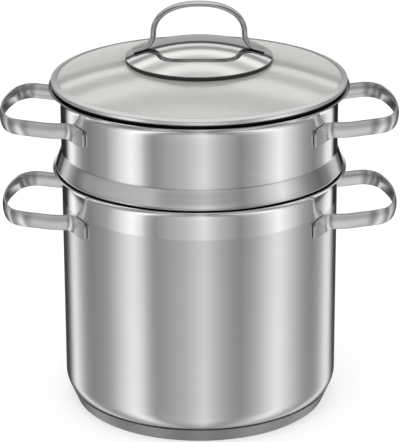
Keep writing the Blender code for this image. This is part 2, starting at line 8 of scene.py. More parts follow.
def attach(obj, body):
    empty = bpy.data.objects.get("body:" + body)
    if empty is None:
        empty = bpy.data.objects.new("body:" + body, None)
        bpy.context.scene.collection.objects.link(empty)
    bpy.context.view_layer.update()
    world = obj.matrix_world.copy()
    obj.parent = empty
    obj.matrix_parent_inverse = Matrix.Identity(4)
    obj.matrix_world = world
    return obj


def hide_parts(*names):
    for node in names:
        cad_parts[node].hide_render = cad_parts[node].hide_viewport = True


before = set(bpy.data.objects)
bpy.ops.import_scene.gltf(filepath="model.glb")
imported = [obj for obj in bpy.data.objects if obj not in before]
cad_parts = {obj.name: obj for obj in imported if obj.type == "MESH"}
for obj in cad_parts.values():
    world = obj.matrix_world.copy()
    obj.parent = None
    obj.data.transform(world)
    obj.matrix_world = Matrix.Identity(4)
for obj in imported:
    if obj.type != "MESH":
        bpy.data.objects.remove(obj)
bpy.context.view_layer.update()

# Facets of the fine surfaces
ROUND_STEPS = 192
SMALL_STEPS = 128
HARDWARE_STEPS = 48
LIP_STEPS = 16                    # along a pouring rim, a bead or the pot's corner
FLOOR_STEPS = 12                  # from a vessel's corner to its middle
SHARP_ANGLE = math.radians(38)
MERGE_DISTANCE = 0.00001
GAP = 0.0003                      # between pieces that bear on each other

# Pot
POT_INNER_RADIUS = 0.1200
POT_WALL = 0.0008
POT_HEIGHT = 0.2163
POT_LIP_REACH = 0.0078
POT_CORNER_RADIUS = 0.0198
POLISHED_BAND = 0.0272            # depth of the polished band under the pot's rim
POLISHED_BAND_SOFT = 0.0008       # half the height over which it fades into the satin

# Encapsulated base
CAPSULE_SHEET = 0.0008
CAPSULE_FOOT_INSET = 0.0088
CAPSULE_HEIGHT = 0.0122
CAPSULE_FOOT_FILLET = 0.0016
CORE_THICKNESS = 0.0048

# Insert
COLLAR_RISE = 0.0732
COLLAR_WALL = 0.0008
COLLAR_LIP_REACH = 0.0098
SKIRT_SLOPE = math.radians(18.6)
SKIRT_FILLET = 0.0050
BEAD_RADIUS = 0.0030
BEAD_LEDGE = 0.0013
NECK_CLEARANCE = 0.0006
NECK_LENGTH = 0.0090
COLLAR_SEAT = (math.radians(125), math.radians(150))
BASKET_WALL = 0.0008
BASKET_LAP = 0.0060
BASKET_FLOOR_CLEARANCE = 0.0350
BASKET_CORNER_RADIUS = 0.0140
HOLE_RADIUS = 0.0025
HOLE_SIDES = 16
HOLE_COLUMNS = 36
HOLE_ROWS = 9
HOLE_ROW_PITCH = 0.0095
HOLE_START = 0.0140
FLOOR_HOLE_RINGS = 6
FLOOR_HOLE_PITCH = 0.0145

# Side handles
BAND_HEIGHT = 0.0142
BAND_THICKNESS = 0.0034           # in the middle of its height
BAND_EDGE_THICKNESS = 0.0011
BAND_EDGE_ROUND = 0.0008
GRIP_REACH = 0.0528
GRIP_TIP_RADIUS = 0.1063
GRIP_CORNER_RADIUS = 0.0223
GRIP_HALF_SPREAD = 0.0545
GRIP_SPLAY = math.radians(1)
GRIP_RISE = 0.0028
GRIP_CREST = 0.0320
PAD_HEIGHT = 0.0160
PAD_THICKNESS = 0.0024
PAD_CORNER_RADIUS = 0.0040
PAD_FALL = 0.0026
PAD_EDGE_ROUND = 0.0005
PAD_BEND_RADIUS = 0.0100
PAD_END = math.radians(37.2)
POT_HANDLE_DROP = 0.0351
INSERT_HANDLE_DROP = 0.0255

# Lid rim and glass
STRIP_THICKNESS = 0.0006
STRIP_LEDGE = 0.0070
STRIP_FLANGE = 0.0024
STRIP_SHOULDER = 0.0006           # radius of its upper outer corner
STRIP_FACE_TILT = math.radians(-8)
STRIP_SEAT = (math.radians(137), math.radians(152))
LID_SKIRT_CLEARANCE = 0.0007
LID_SKIRT_DEPTH = 0.0050
GLASS_THICKNESS = 0.0040
GLASS_DOME_RADIUS = 0.4155
GLASS_EDGE_CHAMFER = 0.0010
GLASS_EDGE_GRIP = 0.0010
GLASS_HOLE_RADIUS = 0.0070

# Rosette, gasket and lid handle
ROSETTE_RADIUS = 0.0638
ROSETTE_DOME_RADIUS = 0.1703
ROSETTE_SHEET = 0.0008
GASKET_HEIGHT = 0.0028
GASKET_WIDTH = 0.0062
GASKET_INSET = 0.0003
GASKET_EDGE_ROUND = 0.0003
BAR_DEPTH = 0.0090
BAR_THICKNESS = 0.0050
ARCH_HALF_SPAN = 0.0393
ARCH_RISE = 0.0339
ARCH_SQUARENESS = 2.25
LEG_CURVE_RADIUS = 0.0128
FOOT_SEAT_RADIUS = 0.0515
FOOT_HALF_LENGTH = 0.0048
FOOT_WIDTH = 0.0108
FOOT_THICKNESS = 0.0028
FOOT_SQUARENESS = 6.0

# Fastening of the lid handle
BOSS_RADIUS = 0.0050
SCREW_RADIUS = 0.0025
SCREW_CLEARANCE = 0.0003
SCREW_GRIP = 0.0100
SCREW_HEAD_RADIUS = 0.0052
SCREW_HEAD_HEIGHT = 0.0032
SCREW_FLAT_SHARE = 0.55           # of the head's radius that is flat, and of its height that is round
SCREW_PITCH = 0.0008
SCREW_ROOT_SHARE = 0.86           # the thread's root radius, as a share of the outer one
SCREW_CROSS = (0.0056, 0.0011, 0.0030)   # each arm's cutter, which is half sunk into the head
BORE_EXTRA = 0.0015
GROMMET_FLANGE_RADIUS = 0.0110
GROMMET_FLANGE = 0.0015
GROMMET_COLLAR = 0.0015
WASHER_RADIUS = 0.0125
WASHER_THICKNESS = 0.0012
WASHER_EDGE = 0.0002

# Camera: the photograph's own view, solved from the rims' ellipses
IMAGE_WIDTH = 400
IMAGE_HEIGHT = 442
CAMERA_FOCAL = 2402.3             # in pixels of the photograph
CAMERA_DISTANCE = 2.12736
CAMERA_ELEVATION = math.radians(20.320)
CAMERA_ROLL = math.radians(-0.233)
CAMERA_AXIS_X = 199.74            # pixel column of the optical axis
CAMERA_AIM = 0.16186              # height on the pot's axis at which the camera looks
SENSOR = 36.0                     # millimetres
CLIP_NEAR = 0.1
CLIP_FAR = 100.0

# Sizes that follow from the ones above
pot_outer_radius = POT_INNER_RADIUS + POT_WALL
pot_underside = CAPSULE_SHEET + GAP + CORE_THICKNESS + GAP
pot_floor = pot_underside + POT_WALL
pot_lip_centre = (pot_outer_radius + POT_LIP_REACH, POT_HEIGHT - POT_WALL - POT_LIP_REACH)
capsule_foot_radius = pot_outer_radius - CAPSULE_FOOT_INSET
insert_top = POT_HEIGHT + COLLAR_RISE
collar_inner_radius = POT_INNER_RADIUS
collar_outer_radius = collar_inner_radius + COLLAR_WALL
collar_lip_centre = (collar_outer_radius + COLLAR_LIP_REACH,
                     insert_top - COLLAR_WALL - COLLAR_LIP_REACH)
pot_corner_centre = (pot_outer_radius - POT_CORNER_RADIUS, pot_underside + POT_CORNER_RADIUS)
capsule_rim_drop = pot_corner_centre[1] - CAPSULE_HEIGHT - CAPSULE_SHEET / 2
capsule_rim_radius = (pot_corner_centre[0] + math.sqrt(POT_CORNER_RADIUS ** 2 - capsule_rim_drop ** 2)
                      + GAP + CAPSULE_SHEET)
neck_radius = POT_INNER_RADIUS - NECK_CLEARANCE
neck_bottom = pot_lip_centre[1] - NECK_LENGTH
basket_radius = neck_radius - COLLAR_WALL - GAP
basket_underside = pot_floor + BASKET_FLOOR_CLEARANCE


def polar(centre, radius, angle):
    return (centre[0] + radius * math.cos(angle), centre[1] + radius * math.sin(angle))


def arc(centre, radius, start, end, steps):
    """Points of an arc from start to end, both included."""
    return [polar(centre, radius, start + (end - start) * i / steps) for i in range(steps + 1)]


def run(first, last, steps):
    """Points of a straight stretch, without its first point."""
    return [(first[0] + (last[0] - first[0]) * i / steps, first[1] + (last[1] - first[1]) * i / steps)
            for i in range(1, steps + 1)]


def add_piece(name, data):
    """New object in the scene, from its mesh, lamp or camera data."""
    made = bpy.data.objects.new(name, data)
    bpy.context.scene.collection.objects.link(made)
    return made


def smooth(mesh):
    mesh.shade_smooth()
    mesh.set_sharp_from_angle(angle=SHARP_ANGLE)


def settle(item):
    """Turn the evaluated object into its own smooth mesh."""
    bpy.context.view_layer.update()
    evaluated = item.evaluated_get(bpy.context.evaluated_depsgraph_get())
    mesh = bpy.data.meshes.new_from_object(evaluated)
    smooth(mesh)
    item.modifiers.clear()
    item.data = mesh
    return item


def turned(name, profile, steps=ROUND_STEPS, wall=None, closed=False):
    """Turned piece: the profile runs down its outer side. A wall makes it a shell of sheet."""
    mesh = bpy.data.meshes.new(name)
    edges = [(i, i + 1) for i in range(len(profile) - 1)]
    if closed:
        edges.append((len(profile) - 1, 0))
    mesh.from_pydata([(r, 0.0, z) for r, z in profile], edges, [])
    item = add_piece(name, mesh)
    screw = item.modifiers.new("Turn", "SCREW")
    screw.steps = steps
    screw.render_steps = steps
    screw.use_merge_vertices = True
    screw.merge_threshold = MERGE_DISTANCE
    if wall is not None:
        shell = item.modifiers.new("Sheet", "SOLIDIFY")
        shell.thickness = wall
        shell.offset = -1
        shell.use_even_offset = True
        shell.use_rim = True
    return settle(item)


def lofted(name, rings):
    """Bar: each ring of points is joined to the next, and both ends are closed."""
    work = bmesh.new()
    loops = [[work.verts.new(point) for point in ring] for ring in rings]
    for first, second in zip(loops, loops[1:]):
        for i in range(len(first)):
            work.faces.new((first[i - 1], first[i], second[i], second[i - 1]))
    for end in (loops[0], loops[-1]):
        work.faces.new(end)
    bmesh.ops.recalc_face_normals(work, faces=work.faces)
    mesh = bpy.data.meshes.new(name)
    work.to_mesh(mesh)
    work.free()
    smooth(mesh)
    return add_piece(name, mesh)


def dress(piece, body, slot, finish, *nodes):
    """Give a piece its body, its finish and the nodes it stands for."""
    piece.data.materials.clear()
    piece.data.materials.append(finish)
    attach(piece, body)
    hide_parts(*nodes)
    return piece


# Pot

def pot_shell():
    """Pouring rim, wall, rounded corner and floor."""
    lip = arc(pot_lip_centre, POT_LIP_REACH, math.radians(90), math.radians(180), LIP_STEPS)
    corner = arc(pot_corner_centre, POT_CORNER_RADIUS, 0.0, math.radians(-90), LIP_STEPS)
    wall = run(lip[-1], corner[0], 24)
    floor = run(corner[-1], (0.0, pot_underside), FLOOR_STEPS)
    return turned("pot_shell", lip + wall + corner[1:] + floor, wall=POT_WALL)


def base_cap():
    """Cap over the base's disc: flared side, rounded foot and flat underside."""
    flare = math.atan2(capsule_rim_radius - capsule_foot_radius, CAPSULE_HEIGHT - CAPSULE_FOOT_FILLET)
    centre = (capsule_foot_radius - CAPSULE_FOOT_FILLET, CAPSULE_FOOT_FILLET)
    foot = arc(centre, CAPSULE_FOOT_FILLET, -flare, math.radians(-90), 8)
    side = run((capsule_rim_radius, CAPSULE_HEIGHT), foot[0], 4)
    bottom = run(foot[-1], (0.0, 0.0), FLOOR_STEPS)
    return turned("base_cap", [(capsule_rim_radius, CAPSULE_HEIGHT)] + side + foot[1:] + bottom,
                  wall=CAPSULE_SHEET)


# Side handles

def grip_height(distance):
    """Rise of the grip over its pads, at a distance out from the wall."""
    if distance <= 0:
        return 0.0
    if distance < GRIP_CREST:
        return GRIP_RISE * 0.5 * (1 - math.cos(math.pi * distance / GRIP_CREST))
    beyond = (distance - GRIP_CREST) / (GRIP_REACH - GRIP_CREST)
    return GRIP_RISE * (1 - beyond ** 2)


def rounded_off(distance, radius):
    """What a round corner takes off at a distance from its end."""
    if distance >= radius:
        return 0.0
    return radius - math.sqrt(radius ** 2 - (radius - distance) ** 2)


def grip_path(wall_radius):
    """Middle line of half a side handle at +X: pad, bend, branch, corner and tip.

    With each point come how far the section has changed from pad (0) to grip (1), and how far it is
    from the pad's end.
    """
    pad_radius = wall_radius + GAP + PAD_THICKNESS / 2
    out = Vector((math.sin(GRIP_SPLAY), math.cos(GRIP_SPLAY)))
    branch = out.dot(Vector((wall_radius, GRIP_HALF_SPREAD)))
    bend_reach = pad_radius + PAD_BEND_RADIUS
    pad_start = math.asin((branch + PAD_BEND_RADIUS) / bend_reach) - GRIP_SPLAY
    bend_centre = polar((0.0, 0.0), bend_reach, pad_start)
    tip_face = wall_radius + GRIP_REACH - BAND_THICKNESS / 2
    tip_centre = (tip_face - GRIP_TIP_RADIUS, 0.0)
    swing = GRIP_TIP_RADIUS - GRIP_CORNER_RADIUS
    turn = math.asin((branch - GRIP_CORNER_RADIUS - out.x * tip_centre[0]) / swing) - GRIP_SPLAY
    corner_centre = polar(tip_centre, swing, turn)
    quarter = math.radians(90)
    pad_corner_steps = 12
    pad_steps = 8
    bend_steps = 16
    branch_steps = 10
    corner_steps = 20
    tip_steps = 14
    inward = [PAD_CORNER_RADIUS * (1 - math.cos(quarter * i / pad_corner_steps))
              for i in range(pad_corner_steps + 1)]
    line = [polar((0.0, 0.0), pad_radius, PAD_END - distance / pad_radius) for distance in inward]
    line += arc((0.0, 0.0), pad_radius, PAD_END - inward[-1] / pad_radius, pad_start, pad_steps)[1:]
    shares = [0.0] * len(line)
    line += arc(bend_centre, PAD_BEND_RADIUS, pad_start + 2 * quarter, 3 * quarter - GRIP_SPLAY,
                bend_steps)[1:]
    shares += [0.5 - 0.5 * math.cos(math.pi * i / bend_steps) for i in range(1, bend_steps + 1)]
    branch_end = polar(corner_centre, GRIP_CORNER_RADIUS, quarter - GRIP_SPLAY)
    line += run(line[-1], branch_end, branch_steps)[:-1]
    line += arc(corner_centre, GRIP_CORNER_RADIUS, quarter - GRIP_SPLAY, turn, corner_steps)
    line += arc(tip_centre, GRIP_TIP_RADIUS, turn, 0.0, tip_steps)[1:]
    shares += [1.0] * (len(line) - len(shares))
    inward += [PAD_HEIGHT] * (len(line) - len(inward))
    return line, shares, inward


def band_heights(line, bend_end, wall_radius):
    """Height of each point of the middle line: the grip's rise, and the fall of the pad below it."""
    heights = [grip_height(x - wall_radius) for x, _ in line]
    steps = [math.dist(first, second) for first, second in zip(line[:bend_end], line[1:])]
    for i in range(bend_end):
        heights[i] -= PAD_FALL * sum(steps[i:]) / sum(steps)
    return heights


def band_ring(middle, across, share, from_end):
    """Section of a side handle: broad faces that bulge along the grip, and round edges."""
    def mixed(pad, grip):
        return pad + (grip - pad) * share
    thinner = rounded_off(from_end, PAD_EDGE_ROUND)
    half_height = mixed(PAD_HEIGHT, BAND_HEIGHT) / 2 - rounded_off(from_end, PAD_CORNER_RADIUS)
    edge = mixed(PAD_THICKNESS, BAND_EDGE_THICKNESS) / 2 - thinner
    bulge = mixed(0.0, BAND_THICKNESS - BAND_EDGE_THICKNESS) / 2
    edge_round = min(mixed(PAD_EDGE_ROUND, BAND_EDGE_ROUND), edge)
    face_end = half_height - edge_round
    slope = math.atan2(2 * bulge, face_end)
    corner = arc((edge - edge_round * math.cos(slope), half_height - edge_round), edge_round, slope,
                 math.radians(90), 5)
    face = []
    face_steps = 10
    face_top = face_end + edge_round * math.sin(slope)
    for i in range(1 - face_steps, face_steps):
        share_up = i / face_steps
        face.append((edge + bulge * (1 - share_up ** 2), share_up * face_top))
    right = [(x, -z) for x, z in reversed(corner)] + face + corner
    outline = right + [(-x, -z) for x, z in right]
    return [middle + across * x + Vector((0.0, 0.0, z)) for x, z in outline]


def band_rings(wall_radius, height):
    """Sections along the whole handle, from one pad's end to the other's."""
    line, shares, inward = grip_path(wall_radius)
    heights = band_heights(line, shares.index(1.0), wall_radius)
    path = line + [(x, -y) for x, y in reversed(line[:-1])]
    shares += shares[-2::-1]
    inward += inward[-2::-1]
    heights += heights[-2::-1]
    rings = []
    for i, (x, y) in enumerate(path):
        before = Vector(path[max(i - 1, 0)])
        after = Vector(path[min(i + 1, len(path) - 1)])
        here = Vector((x, y))
        along = (here - before).normalized() + (after - here).normalized()
        across = Vector((along.y, -along.x, 0.0)).normalized()
        rings.append(band_ring(Vector((x, y, height + heights[i])), across, shares[i], inward[i]))
    return rings


def side_handles(body, wall_radius, height, finish):
    """Two handles, the left one turned half way round."""
    for side, turn in (("right", 0.0), ("left", math.pi)):
        piece = lofted(body + "_band_" + side, band_rings(wall_radius, height))
        piece.data.transform(Matrix.Rotation(turn, 4, "Z"))
        dress(piece, body, "handle_steel", finish, body + "_handle_" + side)


# Insert

def seat_line(lip_centre, reach, wall, stretch, bead_radius, ledge):
    """Where a sheet bears on a pouring rim, the middle of the bead outside it, and the bead's last angle."""
    seat = arc(lip_centre, reach + wall + GAP, *stretch, 6)
    outward = stretch[0] - math.radians(90)
    bead_end = polar(seat[0], ledge, outward)
    bead_centre = polar(bead_end, bead_radius, outward + math.radians(90))
    return seat, bead_centre, outward - math.radians(90)


def collar_shell():
    """Rim, wall, flared skirt, bead, seat on the pot, and neck."""
    seat, bead_centre, bead_end = seat_line(pot_lip_centre, POT_LIP_REACH, POT_WALL, COLLAR_SEAT,
                                            BEAD_RADIUS, BEAD_LEDGE)
    bead = arc(bead_centre, BEAD_RADIUS, SKIRT_SLOPE, bead_end, LIP_STEPS)
    fillet_side = collar_outer_radius + SKIRT_FILLET * (1 - math.cos(SKIRT_SLOPE))
    skirt_run = (bead[0][0] - fillet_side) / math.sin(SKIRT_SLOPE)
    fillet_height = bead[0][1] + skirt_run * math.cos(SKIRT_SLOPE) + SKIRT_FILLET * math.sin(SKIRT_SLOPE)
    fillet = arc((collar_outer_radius + SKIRT_FILLET, fillet_height), SKIRT_FILLET,
                 math.radians(180), math.radians(180) + SKIRT_SLOPE, 10)
    lip = arc(collar_lip_centre, COLLAR_LIP_REACH, math.radians(90), math.radians(180), LIP_STEPS)
    neck = [(neck_radius, pot_lip_centre[1]), (neck_radius, neck_bottom)]
    profile = (lip + run(lip[-1], fillet[0], 8) + fillet[1:] + run(fillet[-1], bead[0], 4) + bead[1:]
               + seat + neck)
    return turned("collar_shell", profile, wall=COLLAR_WALL)


def punched_places():
    """Places of the holes: staggered rows round the wall, and rings on the floor."""
    lowest = basket_underside + BASKET_CORNER_RADIUS + HOLE_START
    places = []
    for row in range(HOLE_ROWS):
        for column in range(HOLE_COLUMNS):
            angle = 2 * math.pi * (column + 0.25 + 0.5 * (row % 2)) / HOLE_COLUMNS
            turn = Matrix.Rotation(angle, 4, "Z") @ Matrix.Rotation(math.radians(90), 4, "Y")
            middle = (*polar((0.0, 0.0), basket_radius, angle), lowest + row * HOLE_ROW_PITCH)
            places.append(Matrix.Translation(middle) @ turn)
    places.append(Matrix.Translation((0.0, 0.0, basket_underside)))
    for ring in range(1, FLOOR_HOLE_RINGS + 1):
        for i in range(6 * ring):
            middle = polar((0.0, 0.0), ring * FLOOR_HOLE_PITCH, 2 * math.pi * i / (6 * ring))
            places.append(Matrix.Translation((*middle, basket_underside)))
    return places


def basket_shell():
    """Perforated cup, turned and then punched."""
    corner = arc((basket_radius - BASKET_CORNER_RADIUS, basket_underside + BASKET_CORNER_RADIUS),
                 BASKET_CORNER_RADIUS, 0.0, math.radians(-90), 10)
    top = (basket_radius, neck_bottom + BASKET_LAP)
    piece = turned("basket_shell", [top] + corner + [(0.0, basket_underside)], wall=BASKET_WALL)
    work = bmesh.new()
    for place in punched_places():
        bmesh.ops.create_cone(work, cap_ends=True, segments=HOLE_SIDES, radius1=HOLE_RADIUS,
                              radius2=HOLE_RADIUS, depth=6 * BASKET_WALL, matrix=place)
    mesh = bpy.data.meshes.new("punches")
    work.to_mesh(mesh)
    work.free()
    cutter = add_piece("punches", mesh)
    cut = piece.modifiers.new("Punched holes", "BOOLEAN")
    cut.operation = "DIFFERENCE"
    cut.solver = "MANIFOLD"
    cut.object = cutter
    settle(piece)
    bpy.data.objects.remove(cutter)
    return piece


# Lid

strip_bead_radius = GLASS_THICKNESS / 2 + GAP + STRIP_THICKNESS
strip_seat, strip_bead_centre, strip_bead_end = seat_line(
    collar_lip_centre, COLLAR_LIP_REACH, COLLAR_WALL, STRIP_SEAT, strip_bead_radius, STRIP_LEDGE)
glass_edge = strip_bead_centre[0] + GLASS_EDGE_GRIP
glass_middle_radius = GLASS_DOME_RADIUS - GLASS_THICKNESS / 2
glass_centre_height = strip_bead_centre[1] - math.sqrt(glass_middle_radius ** 2
                                                       - strip_bead_centre[0] ** 2)


def dome_height(radius, dome_radius):
    return glass_centre_height + math.sqrt(dome_radius ** 2 - radius ** 2)


glass_crown = dome_height(0.0, GLASS_DOME_RADIUS)
glass_underside = glass_crown - GLASS_THICKNESS
gasket_outer = ROSETTE_RADIUS - GASKET_INSET
rosette_edge = dome_height(gasket_outer, GLASS_DOME_RADIUS) + GASKET_HEIGHT + 2 * GAP + ROSETTE_SHEET
rosette_centre_height = rosette_edge - math.sqrt(ROSETTE_DOME_RADIUS ** 2 - ROSETTE_RADIUS ** 2)
rosette_crown = rosette_centre_height + ROSETTE_DOME_RADIUS
washer_top = glass_underside - 2 * GAP - GROMMET_FLANGE


def rosette_height(radius, inset=0.0):
    return rosette_centre_height + math.sqrt((ROSETTE_DOME_RADIUS - inset) ** 2 - radius ** 2)


def rim_strip():
    """Rolled strip: along the glass, round its edge, down to the seat, and the skirt."""
    square_to_glass = math.acos(strip_bead_centre[0] / glass_middle_radius)
    middle = (square_to_glass + STRIP_FACE_TILT) / 2
    reach = (strip_bead_radius - STRIP_SHOULDER) / math.cos(square_to_glass - middle)
    shoulder = arc(polar(strip_bead_centre, reach, middle), STRIP_SHOULDER, square_to_glass,
                   STRIP_FACE_TILT, 12)
    bead = shoulder + arc(strip_bead_centre, strip_bead_radius, STRIP_FACE_TILT, strip_bead_end, LIP_STEPS)
    flange_end = polar(polar(strip_bead_centre, strip_bead_radius, square_to_glass), STRIP_FLANGE,
                       square_to_glass + math.radians(90))
    skirt_radius = collar_inner_radius - LID_SKIRT_CLEARANCE
    skirt_top = collar_lip_centre[1] + 2 * LID_SKIRT_CLEARANCE
    skirt = [(skirt_radius, skirt_top), (skirt_radius, skirt_top - LID_SKIRT_DEPTH)]
    return turned("rim_strip", [flange_end] + bead + strip_seat + skirt, wall=STRIP_THICKNESS)


def glass_dome():
    """Dome of even thickness with a hole in its middle and a chamfered edge."""
    inner_dome = GLASS_DOME_RADIUS - GLASS_THICKNESS
    steps = 28
    radii = [GLASS_HOLE_RADIUS + (glass_edge - GLASS_EDGE_CHAMFER - GLASS_HOLE_RADIUS) * i / steps
             for i in range(steps + 1)]
    upper = [(r, dome_height(r, GLASS_DOME_RADIUS)) for r in radii]
    lower = [(r, dome_height(r, inner_dome)) for r in reversed(radii)]
    edge_top = (glass_edge, dome_height(glass_edge, GLASS_DOME_RADIUS) - GLASS_EDGE_CHAMFER)
    edge_bottom = (glass_edge, dome_height(glass_edge, inner_dome) + GLASS_EDGE_CHAMFER)
    return turned("glass_dome", upper + [edge_top, edge_bottom] + lower, closed=True)


def rosette_shell():
    slope = math.asin(ROSETTE_RADIUS / ROSETTE_DOME_RADIUS)
    dome = arc((0.0, rosette_centre_height), ROSETTE_DOME_RADIUS, math.radians(90),
               math.radians(90) - slope, 40)
    return turned("rosette_shell", dome, SMALL_STEPS, wall=ROSETTE_SHEET)


def gasket_ring():
    inner = gasket_outer - GASKET_WIDTH
    below = ROSETTE_SHEET + GAP
    profile = [
        (gasket_outer, rosette_height(gasket_outer, below)),
        (gasket_outer, dome_height(gasket_outer, GLASS_DOME_RADIUS) + GAP),
        (inner, dome_height(inner, GLASS_DOME_RADIUS) + GAP),
        (inner, rosette_height(inner, below)),
    ]
    piece = turned("gasket_ring", profile, SMALL_STEPS, closed=True)
    edges = piece.modifiers.new("Moulded edges", "BEVEL")
    edges.width = GASKET_EDGE_ROUND
    edges.segments = 3
    edges.limit_method = "ANGLE"
    return settle(piece)


def arch_path():
    """Middle line of half the lid handle, and how far each point is from flat foot (0) to bar (1)."""
    slope = math.asin(FOOT_SEAT_RADIUS / ROSETTE_DOME_RADIUS)
    across = Vector((math.cos(slope), -math.sin(slope)))
    away = Vector((math.sin(slope), math.cos(slope)))
    seat = Vector((FOOT_SEAT_RADIUS, rosette_height(FOOT_SEAT_RADIUS)))
    foot = seat + away * (FOOT_THICKNESS / 2 + GAP)
    toe = foot + across * FOOT_HALF_LENGTH
    curve_side = ARCH_HALF_SPAN + LEG_CURVE_RADIUS
    curve_height = foot.y + (LEG_CURVE_RADIUS - away.x * (curve_side - foot.x)) / away.y
    down = math.atan2(-away.y, -away.x)
    curve_steps = 24
    arch_steps = 40
    curve = arc((curve_side, curve_height), LEG_CURVE_RADIUS, down, math.radians(-180), curve_steps)
    rise = rosette_crown + ARCH_RISE - curve_height
    power = 2 / ARCH_SQUARENESS
    arch = []
    for i in range(1, arch_steps + 1):
        angle = math.radians(90) * i / arch_steps
        arch.append((ARCH_HALF_SPAN * abs(math.cos(angle)) ** power,
                     curve_height + rise * math.sin(angle) ** power))
    sole = run(tuple(toe), curve[0], 6)[:-1]
    fullness = [0.0] * (1 + len(sole))
    fullness += [0.5 - 0.5 * math.cos(math.pi * i / curve_steps) for i in range(curve_steps + 1)]
    fullness += [1.0] * arch_steps
    return [tuple(toe)] + sole + curve + arch, fullness


def bar_ring(middle, outward, fullness):
    """Section of the lid handle: a flat rounded oblong at the foot, and an ellipse along the bar."""
    depth = FOOT_WIDTH + (BAR_DEPTH - FOOT_WIDTH) * fullness
    thickness = FOOT_THICKNESS + (BAR_THICKNESS - FOOT_THICKNESS) * fullness
    power = 2 / (FOOT_SQUARENESS + (2 - FOOT_SQUARENESS) * fullness)
    ring = []
    sides = 40
    for i in range(sides):
        angle = 2 * math.pi * (i + 0.5) / sides
        along_y = math.copysign(abs(math.cos(angle)) ** power, math.cos(angle)) * depth / 2
        off = math.copysign(abs(math.sin(angle)) ** power, math.sin(angle)) * thickness / 2
        ring.append((middle[0] + outward.x * off, along_y, middle[1] + outward.y * off))
    return ring


def lid_arch():
    half, half_fullness = arch_path()
    path = half + [(-x, z) for x, z in reversed(half[:-1])]
    fullness = half_fullness + half_fullness[-2::-1]
    rings = []
    for i, middle in enumerate(path):
        before = path[max(i - 1, 0)]
        after = path[min(i + 1, len(path) - 1)]
        outward = Vector((after[1] - before[1], before[0] - after[0])).normalized()
        rings.append(bar_ring(middle, outward, fullness[i]))
    return lofted("lid_arch", rings)


def boss_pin():
    bore = SCREW_RADIUS + SCREW_CLEARANCE
    bottom = washer_top + GAP
    bore_end = bottom + SCREW_GRIP + BORE_EXTRA
    top = rosette_height(0.0, ROSETTE_SHEET + GAP) - (ROSETTE_DOME_RADIUS - math.sqrt(
        ROSETTE_DOME_RADIUS ** 2 - BOSS_RADIUS ** 2))
    return turned("boss_pin", [(0.0, top), (BOSS_RADIUS, top), (BOSS_RADIUS, bottom), (bore, bottom),
                               (bore, bore_end), (0.0, bore_end)], HARDWARE_STEPS)


def grommet_sleeve():
    inner = BOSS_RADIUS + GAP
    sleeve = GLASS_HOLE_RADIUS - GAP
    flange_top = dome_height(GLASS_HOLE_RADIUS, GLASS_DOME_RADIUS - GLASS_THICKNESS) - 2 * GAP
    profile = [
        (inner, glass_crown + GROMMET_COLLAR),
        (sleeve, glass_crown + GROMMET_COLLAR),
        (sleeve, flange_top),
        (GROMMET_FLANGE_RADIUS, flange_top),
        (GROMMET_FLANGE_RADIUS, washer_top + GAP),
        (inner, washer_top + GAP),
    ]
    return turned("grommet_sleeve", profile, HARDWARE_STEPS, closed=True)


def washer_disc():
    inner = SCREW_RADIUS + SCREW_CLEARANCE
    bottom = washer_top - WASHER_THICKNESS
    flat = WASHER_RADIUS - WASHER_EDGE
    profile = [(inner, washer_top), (flat, washer_top), (WASHER_RADIUS, washer_top - WASHER_EDGE),
               (WASHER_RADIUS, bottom + WASHER_EDGE), (flat, bottom), (inner, bottom)]
    return turned("washer_disc", profile, HARDWARE_STEPS, closed=True)


def screw_body():
    """Pan-head screw from below, with a cross in its head and a rolled thread on its shank."""
    head_top = washer_top - WASHER_THICKNESS - GAP
    tip = washer_top + GAP + SCREW_GRIP
    shank = []
    for i in range(int((tip - head_top) / SCREW_PITCH)):
        z = tip - i * SCREW_PITCH
        shank.append((SCREW_RADIUS * SCREW_ROOT_SHARE, z))
        shank.append((SCREW_RADIUS, z - SCREW_PITCH / 2))
    round_top = head_top - SCREW_HEAD_HEIGHT * (1 - SCREW_FLAT_SHARE)
    flattening = SCREW_HEAD_HEIGHT * SCREW_FLAT_SHARE
    circle = arc((SCREW_HEAD_RADIUS * SCREW_FLAT_SHARE, 0.0), SCREW_HEAD_RADIUS * (1 - SCREW_FLAT_SHARE),
                 0.0, math.radians(-90), 8)
    head = [(r, round_top + z * flattening / (SCREW_HEAD_RADIUS * (1 - SCREW_FLAT_SHARE)))
            for r, z in circle]
    profile = [(0.0, tip)] + shank + [(SCREW_RADIUS, head_top), (SCREW_HEAD_RADIUS, head_top)] + head
    profile.append((0.0, head_top - SCREW_HEAD_HEIGHT))
    piece = turned("screw_body", profile, HARDWARE_STEPS)
    work = bmesh.new()
    for turn in (0.0, math.radians(90)):
        place = Matrix.Translation((0.0, 0.0, head_top - SCREW_HEAD_HEIGHT)) @ Matrix.Rotation(turn, 4, "Z")
        size = Matrix.Diagonal((*SCREW_CROSS, 1.0))
        bmesh.ops.create_cube(work, size=1.0, matrix=place @ size)
    mesh = bpy.data.meshes.new("cross")
    work.to_mesh(mesh)
    work.free()
    cutter = add_piece("cross", mesh)
    cut = piece.modifiers.new("Cross", "BOOLEAN")
    cut.operation = "DIFFERENCE"
    cut.use_self = True
    cut.object = cutter
    settle(piece)
    bpy.data.objects.remove(cutter)
    return piece


# Finishes: patterns are scaled in cycles per metre along each axis

